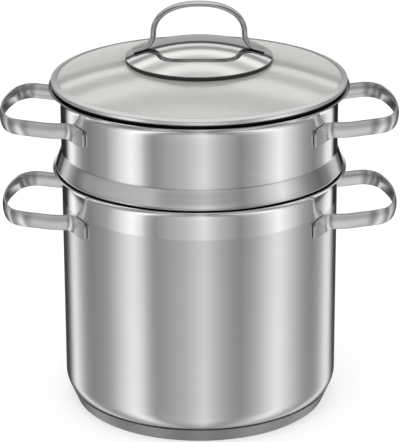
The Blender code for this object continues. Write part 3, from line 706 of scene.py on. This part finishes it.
LEVEL_LINES = (14.0, 14.0, 5200.0)
LEVEL_BANDS = (5.0, 5.0, 900.0)
TURNED_LINES = 4200.0
TURNED_DRIFT = 9.0                # along X, so that a ring changes on its way round
SMUDGES = (22.0, 22.0, 16.0)
SMUDGE_DULLING = 0.6              # what a smudge adds, as a share of the steel's roughness range
SCRATCHES = (160.0, 160.0, 700.0)
SCRATCH_PATCHES = (40.0, 40.0, 40.0)
SCRATCH_WIDTH = 0.006
SCRATCH_DULLING = 0.06
SCRATCH_RELIEF = 0.5
FINE_SHARE = 0.7                  # of the fine lines in a steel's pattern, the broad ones being the rest
POLISHED_RELIEF = 0.06            # what polishing leaves of the lines
ANISOTROPY_TURN = 0.25            # of a full turn, from the tangent that runs round Z
# Painted shade: the dark grey that ambient occlusion paints into gaps and under parts
PAINTED_SHADE_GREY = (0.03, 0.03, 0.03)
PAINTED_SHADE_OPEN = (0.30, 0.62)       # open share at which the painted shade is darkest, and at which it ends
GLASS_TINT = (0.955, 0.975, 0.965, 1.0)
GLASS_IOR = 1.5
GLASS_COAT_IOR = 2.4
GLASS_COAT_ROUGHNESS = 0.02
# Painted light: a pale diffuse layer over the glass that stands in for its bright reflections and lit inside,
# and its share
GLASS_PAINTED_LIGHT = (0.88, 0.88, 0.84, 1.0)
GLASS_PAINTED_LIGHT_SHARE = (0.24, 0.42)   # facing the eye, and edge on
SILICONE_GRAIN = (1800.0, 1800.0, 1800.0)
ALUMINIUM_GRAIN = (60.0, 900.0, 900.0)


def new_material(name):
    made = bpy.data.materials.new(name)
    made.use_nodes = True
    return made, made.node_tree, made.node_tree.nodes["Principled BSDF"]


def add_node(tree, kind, settings=None, inputs=None):
    made = tree.nodes.new(kind)
    for key, value in (settings or {}).items():
        setattr(made, key, value)
    for key, value in (inputs or {}).items():
        if isinstance(value, bpy.types.NodeSocket):
            tree.links.new(value, made.inputs[key])
        else:
            made.inputs[key].default_value = value
    return made


def math_node(tree, operation, first, second=0.0, clamp=False):
    return add_node(tree, "ShaderNodeMath", {"operation": operation, "use_clamp": clamp},
                    {0: first, 1: second}).outputs[0]


def map_range(tree, value, low, high, to_low, to_high):
    return add_node(tree, "ShaderNodeMapRange", {"clamp": True},
                    {0: value, 1: low, 2: high, 3: to_low, 4: to_high}).outputs[0]


def stretched(tree, scale):
    """Object coordinates, stretched by a scale along each axis."""
    place = add_node(tree, "ShaderNodeTexCoord").outputs["Object"]
    return add_node(tree, "ShaderNodeVectorMath", {"operation": "MULTIPLY"}, {0: place, 1: scale}).outputs[0]


def noise(tree, vector, detail=2.0, roughness=0.5):
    return add_node(tree, "ShaderNodeTexNoise", None,
                    {"Vector": vector, "Scale": 1.0, "Detail": detail,
                     "Roughness": roughness}).outputs["Fac"]


def height_of(tree):
    place = add_node(tree, "ShaderNodeTexCoord").outputs["Object"]
    return add_node(tree, "ShaderNodeSeparateXYZ", None, {0: place}).outputs["Z"]


def brushed_along(tree):
    """Fine lines that run level round a wall or along a band, in two sizes."""
    fine = noise(tree, stretched(tree, LEVEL_LINES), detail=3.0, roughness=0.65)
    broad = noise(tree, stretched(tree, LEVEL_BANDS))
    return fine, broad


def turned_lines(tree):
    """Fine lines that run in circles round the axis, on a face at any slope."""
    place = add_node(tree, "ShaderNodeTexCoord").outputs["Object"]
    parts = add_node(tree, "ShaderNodeSeparateXYZ", None, {0: place})
    x, y, z = parts.outputs
    reach = math_node(tree, "SQRT", math_node(tree, "ADD", math_node(tree, "MULTIPLY", x, x),
                                              math_node(tree, "MULTIPLY", y, y)))
    rings = add_node(tree, "ShaderNodeCombineXYZ", None,
                     {"X": math_node(tree, "MULTIPLY", reach, TURNED_LINES),
                      "Y": math_node(tree, "MULTIPLY", z, TURNED_LINES),
                      "Z": math_node(tree, "MULTIPLY", x, TURNED_DRIFT)}).outputs[0]
    return noise(tree, rings, detail=3.0, roughness=0.6)


def smudges(tree):
    """Broad, faint patches, such as wiped steel keeps."""
    return noise(tree, stretched(tree, SMUDGES), detail=4.0, roughness=0.55)


def scratches(tree):
    """Sparse hairlines, in patches: 1 on a line and 0 beside it."""
    patches = noise(tree, stretched(tree, SCRATCH_PATCHES), detail=1.0)
    lines = noise(tree, stretched(tree, SCRATCHES), detail=1.0)
    away = math_node(tree, "ABSOLUTE", math_node(tree, "SUBTRACT", lines, 0.5))
    line = map_range(tree, away, 0.0, SCRATCH_WIDTH, 1.0, 0.0)
    return math_node(tree, "MULTIPLY", line, map_range(tree, patches, 0.55, 0.68, 0.0, 1.0))


def shade(tree, value, dark, bright):
    """Colour between two greys."""
    return add_node(tree, "ShaderNodeMix", {"data_type": "RGBA"},
                    {0: value, 6: (*dark, 1.0), 7: (*bright, 1.0)}).outputs[2]


def bump(tree, shader, height, distance):
    made = add_node(tree, "ShaderNodeBump", None, {"Strength": 1.0, "Distance": distance, "Height": height})
    tree.links.new(made.outputs[0], shader.inputs["Normal"])


def radial_tangent(tree, shader):
    tangent = add_node(tree, "ShaderNodeTangent", {"direction_type": "RADIAL", "axis": "Z"})
    tree.links.new(tangent.outputs[0], shader.inputs["Tangent"])


def steel(name, dark, bright, smooth_at, rough_at, lines="level", anisotropy=0.0, line_depth=0.0000015,
          band=None, painted_shade_reach=None, metallic=1.0):
    """Stainless steel. Its lines set the shade, the gloss and the relief together.

    A band is polished above a height. The painted shade reach is the distance within which a facing wall
    darkens the colour: painted shade, by ambient occlusion, in gaps and under parts. Real steel is all
    metallic: a lower share makes up for the light that is lost between many reflections inside a deep vessel.
    """
    made, tree, shader = new_material(name)
    shader.inputs["Metallic"].default_value = metallic
    if lines == "level":
        fine, broad = brushed_along(tree)
    else:
        fine = turned_lines(tree)
        broad = smudges(tree)
    wiped = smudges(tree)
    marks = scratches(tree)
    mixed = math_node(tree, "ADD", math_node(tree, "MULTIPLY", fine, FINE_SHARE),
                      math_node(tree, "MULTIPLY", broad, 1 - FINE_SHARE))
    shade_of = map_range(tree, mixed, 0.30, 0.70, 0.0, 1.0)
    colour = shade(tree, shade_of, dark, bright)
    gloss = math_node(tree, "ADD", map_range(tree, mixed, 0.25, 0.75, smooth_at, rough_at),
                      map_range(tree, wiped, 0.35, 0.75, 0.0, (rough_at - smooth_at) * SMUDGE_DULLING))
    gloss = math_node(tree, "ADD", gloss, math_node(tree, "MULTIPLY", marks, SCRATCH_DULLING))
    relief = math_node(tree, "SUBTRACT", mixed, math_node(tree, "MULTIPLY", marks, SCRATCH_RELIEF))
    if band is not None:
        height = height_of(tree)
        polished = map_range(tree, height, band["from"] - POLISHED_BAND_SOFT,
                             band["from"] + POLISHED_BAND_SOFT, 0.0, 1.0)
        gloss = add_node(tree, "ShaderNodeMix", {"data_type": "FLOAT"},
                         {0: polished, 2: gloss, 3: band["gloss"]}).outputs[0]
        colour = add_node(tree, "ShaderNodeMix", {"data_type": "RGBA"},
                          {0: polished, 6: colour, 7: (*band["colour"], 1.0)}).outputs[2]
        relief = math_node(tree, "MULTIPLY", relief,
                           map_range(tree, polished, 0.0, 1.0, 1.0, POLISHED_RELIEF))
    # Painted shade: ambient occlusion darkens the colour in gaps and under parts, where shade falls
    if painted_shade_reach is not None:
        open_share = add_node(tree, "ShaderNodeAmbientOcclusion", {"samples": 8},
                              {"Distance": painted_shade_reach}).outputs["AO"]
        colour = add_node(tree, "ShaderNodeMix", {"data_type": "RGBA"},
                          {0: map_range(tree, open_share, *PAINTED_SHADE_OPEN, 0.0, 1.0),
                           6: (*PAINTED_SHADE_GREY, 1.0), 7: colour}).outputs[2]
    tree.links.new(colour, shader.inputs["Base Color"])
    tree.links.new(gloss, shader.inputs["Roughness"])
    bump(tree, shader, relief, line_depth)
    if anisotropy:
        shader.inputs["Anisotropic"].default_value = anisotropy
        shader.inputs["Anisotropic Rotation"].default_value = ANISOTROPY_TURN
        radial_tangent(tree, shader)
    return made


def clear_glass(name):
    """Tempered glass, faintly green, under a pale diffuse layer of painted light that stands in for its
    bright reflections and lit inside, stronger edge on and uneven in patches.
    """
    made, tree, shader = new_material(name)
    shader.inputs["Base Color"].default_value = GLASS_TINT
    shader.inputs["Transmission Weight"].default_value = 1.0
    shader.inputs["IOR"].default_value = GLASS_IOR
    wiped = smudges(tree)
    shader.inputs["Roughness"].default_value = 0.0
    # Painted light: a pale diffuse layer mixed over the glass, more of it edge on
    painted_light = add_node(tree, "ShaderNodeBsdfDiffuse", None, {"Color": GLASS_PAINTED_LIGHT})
    shader.inputs["Coat Weight"].default_value = 1.0
    shader.inputs["Coat IOR"].default_value = GLASS_COAT_IOR
    shader.inputs["Coat Roughness"].default_value = GLASS_COAT_ROUGHNESS
    slant = add_node(tree, "ShaderNodeLayerWeight", None, {"Blend": 0.5}).outputs["Facing"]
    share = math_node(tree, "MULTIPLY", map_range(tree, slant, 0.1, 0.9, *GLASS_PAINTED_LIGHT_SHARE),
                      map_range(tree, wiped, 0.3, 0.75, 0.9, 1.1))
    both = add_node(tree, "ShaderNodeMixShader", None,
                    {0: share, 1: shader.outputs[0], 2: painted_light.outputs[0]})
    tree.links.new(both.outputs[0], tree.nodes["Material Output"].inputs["Surface"])
    return made


def silicone(name):
    """Black moulded silicone with a fine matt grain."""
    made, tree, shader = new_material(name)
    grain = noise(tree, stretched(tree, SILICONE_GRAIN), detail=3.0)
    wiped = smudges(tree)
    tree.links.new(shade(tree, wiped, (0.010, 0.010, 0.010), (0.022, 0.022, 0.021)),
                   shader.inputs["Base Color"])
    tree.links.new(map_range(tree, grain, 0.3, 0.7, 0.42, 0.62), shader.inputs["Roughness"])
    bump(tree, shader, grain, 0.00003)
    return made


def aluminium(name):
    """Rolled aluminium with a grain along X."""
    made, tree, shader = new_material(name)
    shader.inputs["Metallic"].default_value = 1.0
    grain = noise(tree, stretched(tree, ALUMINIUM_GRAIN), detail=3.0)
    tree.links.new(shade(tree, grain, (0.66, 0.67, 0.68), (0.78, 0.79, 0.80)), shader.inputs["Base Color"])
    tree.links.new(map_range(tree, grain, 0.3, 0.7, 0.38, 0.52), shader.inputs["Roughness"])
    bump(tree, shader, grain, 0.000003)
    return made


# Studio

FLOOR_HALF_SIZE = 20.0
FLOOR_GRAIN = (300.0, 300.0, 300.0)
FLOOR_DARK = (0.54, 0.54, 0.54)
FLOOR_BRIGHT = (0.56, 0.56, 0.56)
FLOOR_GLOW = 0.54                 # for the eye and through glass, so that the floor looks white
KEY_PLACE = (-0.5, -1.2, 2.6)
KEY_AIM = (0.0, 0.0, 0.15)
KEY_SIZE = 1.6
KEY_POWER = 8.0


def white_floor():
    """Seamless white floor that takes the pot's shadow. Steel doesn't reflect it, but the room."""
    mesh = bpy.data.meshes.new("floor")
    work = bmesh.new()
    bmesh.ops.create_grid(work, x_segments=8, y_segments=8, size=FLOOR_HALF_SIZE)
    work.to_mesh(mesh)
    work.free()
    floor = add_piece("floor", mesh)
    floor.visible_glossy = False
    made, tree, shader = new_material("floor_paper")
    grain = noise(tree, stretched(tree, FLOOR_GRAIN))
    tree.links.new(shade(tree, grain, FLOOR_DARK, FLOOR_BRIGHT), shader.inputs["Base Color"])
    shader.inputs["Roughness"].default_value = 0.9
    shader.inputs["Specular IOR Level"].default_value = 0.0
    path = add_node(tree, "ShaderNodeLightPath")
    seen = math_node(tree, "ADD", path.outputs["Is Camera Ray"], path.outputs["Is Transmission Ray"], True)
    glow = math_node(tree, "MULTIPLY", seen, FLOOR_GLOW)
    shader.inputs["Emission Color"].default_value = (1.0, 1.0, 1.0, 1.0)
    tree.links.new(glow, shader.inputs["Emission Strength"])
    mesh.materials.append(made)


# What steel reflects of the room low down: (degrees round from the camera, brightness)
WALL_LIGHTS = (
    (-174, 0.26), (-163, 0.02), (-146, 0.05), (-142, 0.42), (-137, 1.08), (-131, 1.38), (-126, 1.05),
    (-121, 0.66), (-112, 0.36), (-104, 0.30), (-83, 0.50), (-68, 1.10), (-58, 1.42), (-50, 1.10),
    (-45, 0.64), (-38, 0.38), (-26, 0.54), (-12, 0.70), (4, 1.06), (17, 0.65), (34, 0.36), (48, 0.62),
    (69, 1.36), (82, 0.94), (96, 0.50), (109, 0.32), (121, 0.52), (131, 1.15), (140, 1.26), (149, 0.04),
    (163, 0.02), (174, 0.26),
)
# What it reflects higher up, behind the pot: (degrees above the floor, brightness)
BACK_LIGHTS = (
    (-90, 0.50), (-8, 0.48), (13, 0.46), (15, 0.10), (18, 0.08), (20, 0.95), (22, 1.05), (25, 0.45),
    (28, 0.45), (31, 1.15), (35, 1.25), (40, 0.75), (44, 0.72), (49, 1.15), (53, 1.15), (58, 0.80),
    (64, 0.85), (70, 1.10), (90, 1.50),
)
# The same in front of the pot
FRONT_LIGHTS = (
    (-90, 0.30), (-10, 0.50), (12, 0.50), (17, 0.20), (24, 0.18), (50, 0.24), (62, 0.48), (72, 1.10),
    (90, 1.50),
)
# How bright the low lights are by height: (degrees above the floor, share)
LOW_SHARES = (
    (-90, 0.70), (-62, 0.88), (-46, 1.12), (-30, 1.08), (-20, 1.00), (-13, 0.76), (-5, 0.58), (6, 0.60),
    (11, 0.85), (15, 1.00),
)
LEFT_BOX_TOP = 0.72               # brightness over the left softbox, which ends at the horizon
LEFT_BOX_RISE = 4.0               # degrees above the floor over which it ends
LEFT_BOX_START = (-118.0, -106.0)  # degrees round from the camera over which it fades in
LEFT_BOX_END = (-38.0, -26.0)     # and out
BACK_FADE = (0.0, 0.45)           # direction's Y over which front changes to back
BEHIND_FADE = (0.55, 0.85)        # direction's Y over which the high lights reach lower
HIGH_START = 15.0                 # degrees above the floor at which the high lights start
HIGH_START_BEHIND = -12.0
HIGH_FADE = 6.0
BRIGHTEST = 2.0                   # of the ramps, whose colours end at white


def ramp_of(tree, value, stops, low, high):
    """Grey ramp through (position, brightness) stops between two limits, with brightness past white."""
    share = map_range(tree, value, low, high, 0.0, 1.0)
    made = add_node(tree, "ShaderNodeValToRGB", None, {"Fac": share})
    points = made.color_ramp.elements
    while len(points) < len(stops):
        points.new(0.5)
    for point, (position, brightness) in zip(points, stops):
        point.position = (position - low) / (high - low)
        point.color = (*[brightness / BRIGHTEST] * 3, 1.0)
    return math_node(tree, "MULTIPLY", made.outputs["Color"], BRIGHTEST)


def blend(tree, share, first, second):
    return add_node(tree, "ShaderNodeMix", {"data_type": "FLOAT"}, {0: share, 2: first, 3: second}).outputs[0]


def studio_world():
    """White for all rays but glossy ones, which see a room with softboxes and dark gaps."""
    world = bpy.data.worlds.new("studio")
    bpy.context.scene.world = world
    world.use_nodes = True
    tree = world.node_tree
    background = tree.nodes["Background"]
    path = add_node(tree, "ShaderNodeLightPath")
    direction = add_node(tree, "ShaderNodeTexCoord").outputs["Generated"]
    x, y, z = add_node(tree, "ShaderNodeSeparateXYZ", None, {0: direction}).outputs
    degrees = 180 / math.pi
    around = math_node(tree, "MULTIPLY",
                       math_node(tree, "ARCTAN2", x, math_node(tree, "MULTIPLY", y, -1.0)), degrees)
    above = math_node(tree, "MULTIPLY", math_node(tree, "ARCSINE", z), degrees)
    low = ramp_of(tree, around, WALL_LIGHTS, -180, 180)
    over_left = math_node(tree, "MULTIPLY", map_range(tree, above, 0.0, LEFT_BOX_RISE, 0.0, 1.0),
                          math_node(tree, "MULTIPLY", map_range(tree, around, *LEFT_BOX_START, 0.0, 1.0),
                                    map_range(tree, around, *LEFT_BOX_END, 1.0, 0.0)))
    low = blend(tree, over_left, low, LEFT_BOX_TOP)
    low = math_node(tree, "MULTIPLY", low, ramp_of(tree, above, LOW_SHARES, -90, 90))
    back = ramp_of(tree, above, BACK_LIGHTS, -90, 90)
    front = ramp_of(tree, above, FRONT_LIGHTS, -90, 90)
    high = blend(tree, map_range(tree, y, *BACK_FADE, 0.0, 1.0), front, back)
    behind = map_range(tree, y, *BEHIND_FADE, 0.0, 1.0)
    start = blend(tree, behind, HIGH_START, HIGH_START_BEHIND)
    raised = map_range(tree, math_node(tree, "SUBTRACT", above, start), 0.0, HIGH_FADE, 0.0, 1.0)
    room = blend(tree, raised, low, high)
    light = blend(tree, path.outputs["Is Glossy Ray"], 1.0, room)
    tree.links.new(light, background.inputs["Color"])
    background.inputs["Strength"].default_value = 1.0


def key_lamp():
    """Soft lamp over the camera's left, which steel doesn't reflect."""
    data = bpy.data.lights.new("key", "AREA")
    data.shape = "DISK"
    data.size = KEY_SIZE
    data.energy = KEY_POWER
    lamp = add_piece("key", data)
    lamp.visible_glossy = False
    turn = (Vector(KEY_AIM) - Vector(KEY_PLACE)).to_track_quat("-Z", "Y")
    lamp.matrix_world = Matrix.Translation(KEY_PLACE) @ turn.to_matrix().to_4x4()


def photo_camera():
    data = bpy.data.cameras.new("camera")
    camera = add_piece("camera", data)
    bpy.context.scene.camera = camera
    data.sensor_width = SENSOR
    data.lens = CAMERA_FOCAL * SENSOR / IMAGE_HEIGHT
    data.clip_start = CLIP_NEAR
    data.clip_end = CLIP_FAR
    data.shift_x = (IMAGE_WIDTH / 2 - CAMERA_AXIS_X) / IMAGE_HEIGHT
    place = Vector((0.0, -CAMERA_DISTANCE * math.cos(CAMERA_ELEVATION),
                    CAMERA_AIM + CAMERA_DISTANCE * math.sin(CAMERA_ELEVATION)))
    look = Vector((0.0, math.cos(CAMERA_ELEVATION), -math.sin(CAMERA_ELEVATION)))
    camera.matrix_world = (Matrix.Translation(place) @ look.to_track_quat("-Z", "Y").to_matrix().to_4x4()
                           @ Matrix.Rotation(CAMERA_ROLL, 4, "Z"))


def make_pot():
    # Painted shade: ambient occlusion within 6 mm darkens the pot's steel, as in the gap under the insert's
    # bead
    body = steel("pot_satin", (0.63, 0.63, 0.625), (0.67, 0.67, 0.66), 0.19, 0.25, anisotropy=0.9,
                 line_depth=0.0000004, painted_shade_reach=0.006,
                 band={"from": POT_HEIGHT - POLISHED_BAND, "gloss": 0.09,
                       "colour": (0.69, 0.693, 0.702)})
    dress(pot_shell(), "pot", "pot_steel", body, "pot_body")
    dress(base_cap(), "pot", "capsule_steel",
          steel("capsule_turned", (0.28, 0.28, 0.28), (0.40, 0.40, 0.395), 0.28, 0.42, lines="turned",
                anisotropy=0.5), "base_capsule")
    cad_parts["base_core"].data.materials.clear()
    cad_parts["base_core"].data.materials.append(aluminium("core_aluminium"))


def make_insert(handle_finish):
    # Painted shade: ambient occlusion within 6 mm darkens the collar, as on the bead's underside over the
    # pot's rim
    polished = steel("collar_polished", (0.64, 0.643, 0.652), (0.70, 0.703, 0.712), 0.05, 0.10,
                     line_depth=0.0000003, painted_shade_reach=0.006)
    dress(collar_shell(), "insert", "collar_steel", polished, "insert_collar")
    dress(basket_shell(), "insert", "basket_steel",
          steel("basket_satin", (0.52, 0.52, 0.515), (0.66, 0.66, 0.65), 0.20, 0.34, anisotropy=0.4,
                metallic=0.6),
          "insert_basket")
    side_handles("insert", collar_outer_radius, insert_top - INSERT_HANDLE_DROP, handle_finish)


def make_lid():
    mirror = steel("mirror_steel", (0.66, 0.66, 0.645), (0.71, 0.71, 0.69), 0.03, 0.07, lines="turned",
                   line_depth=0.0000002)
    bright = steel("rim_bright", (0.66, 0.66, 0.655), (0.72, 0.72, 0.71), 0.26, 0.32, lines="turned",
                   line_depth=0.0000003)
    plain = steel("fastener_plain", (0.50, 0.50, 0.50), (0.62, 0.62, 0.62), 0.22, 0.34, lines="turned")
    rubber = silicone("silicone_black")
    dress(rim_strip(), "lid", "lid_rim_steel", bright, "lid_rim")
    dress(glass_dome(), "lid", "lid_glass", clear_glass("glass_clear"), "lid_glass")
    dress(rosette_shell(), "lid", "polished_steel", mirror, "lid_rosette")
    dress(gasket_ring(), "lid", "black_silicone", rubber, "rosette_gasket")
    # Painted shade: the bar's grey is set darker than the rosette's polished steel, and ambient occlusion
    # within 45 mm darkens it further
    bar = steel("bar_polished_painted_shade", (0.50, 0.50, 0.50), (0.55, 0.55, 0.545), 0.04, 0.07,
                line_depth=0.0000002, painted_shade_reach=0.045)
    dress(lid_arch(), "lid", "polished_steel", bar, "lid_handle")
    dress(boss_pin(), "lid", "fastener_steel", plain, "lid_boss")
    dress(grommet_sleeve(), "lid", "black_silicone", rubber, "lid_grommet")
    dress(washer_disc(), "lid", "fastener_steel", plain, "lid_washer")
    dress(screw_body(), "lid", "fastener_steel", plain, "lid_screw")


def main():
    scene = bpy.context.scene
    scene.view_settings.view_transform = "Standard"
    photo_camera()
    studio_world()
    white_floor()
    key_lamp()
    handle_finish = steel("handle_satin", (0.60, 0.60, 0.595), (0.63, 0.63, 0.62), 0.22, 0.26,
                          line_depth=0.0000002)
    make_pot()
    side_handles("pot", pot_outer_radius, POT_HEIGHT - POT_HANDLE_DROP, handle_finish)
    make_insert(handle_finish)
    make_lid()


main()
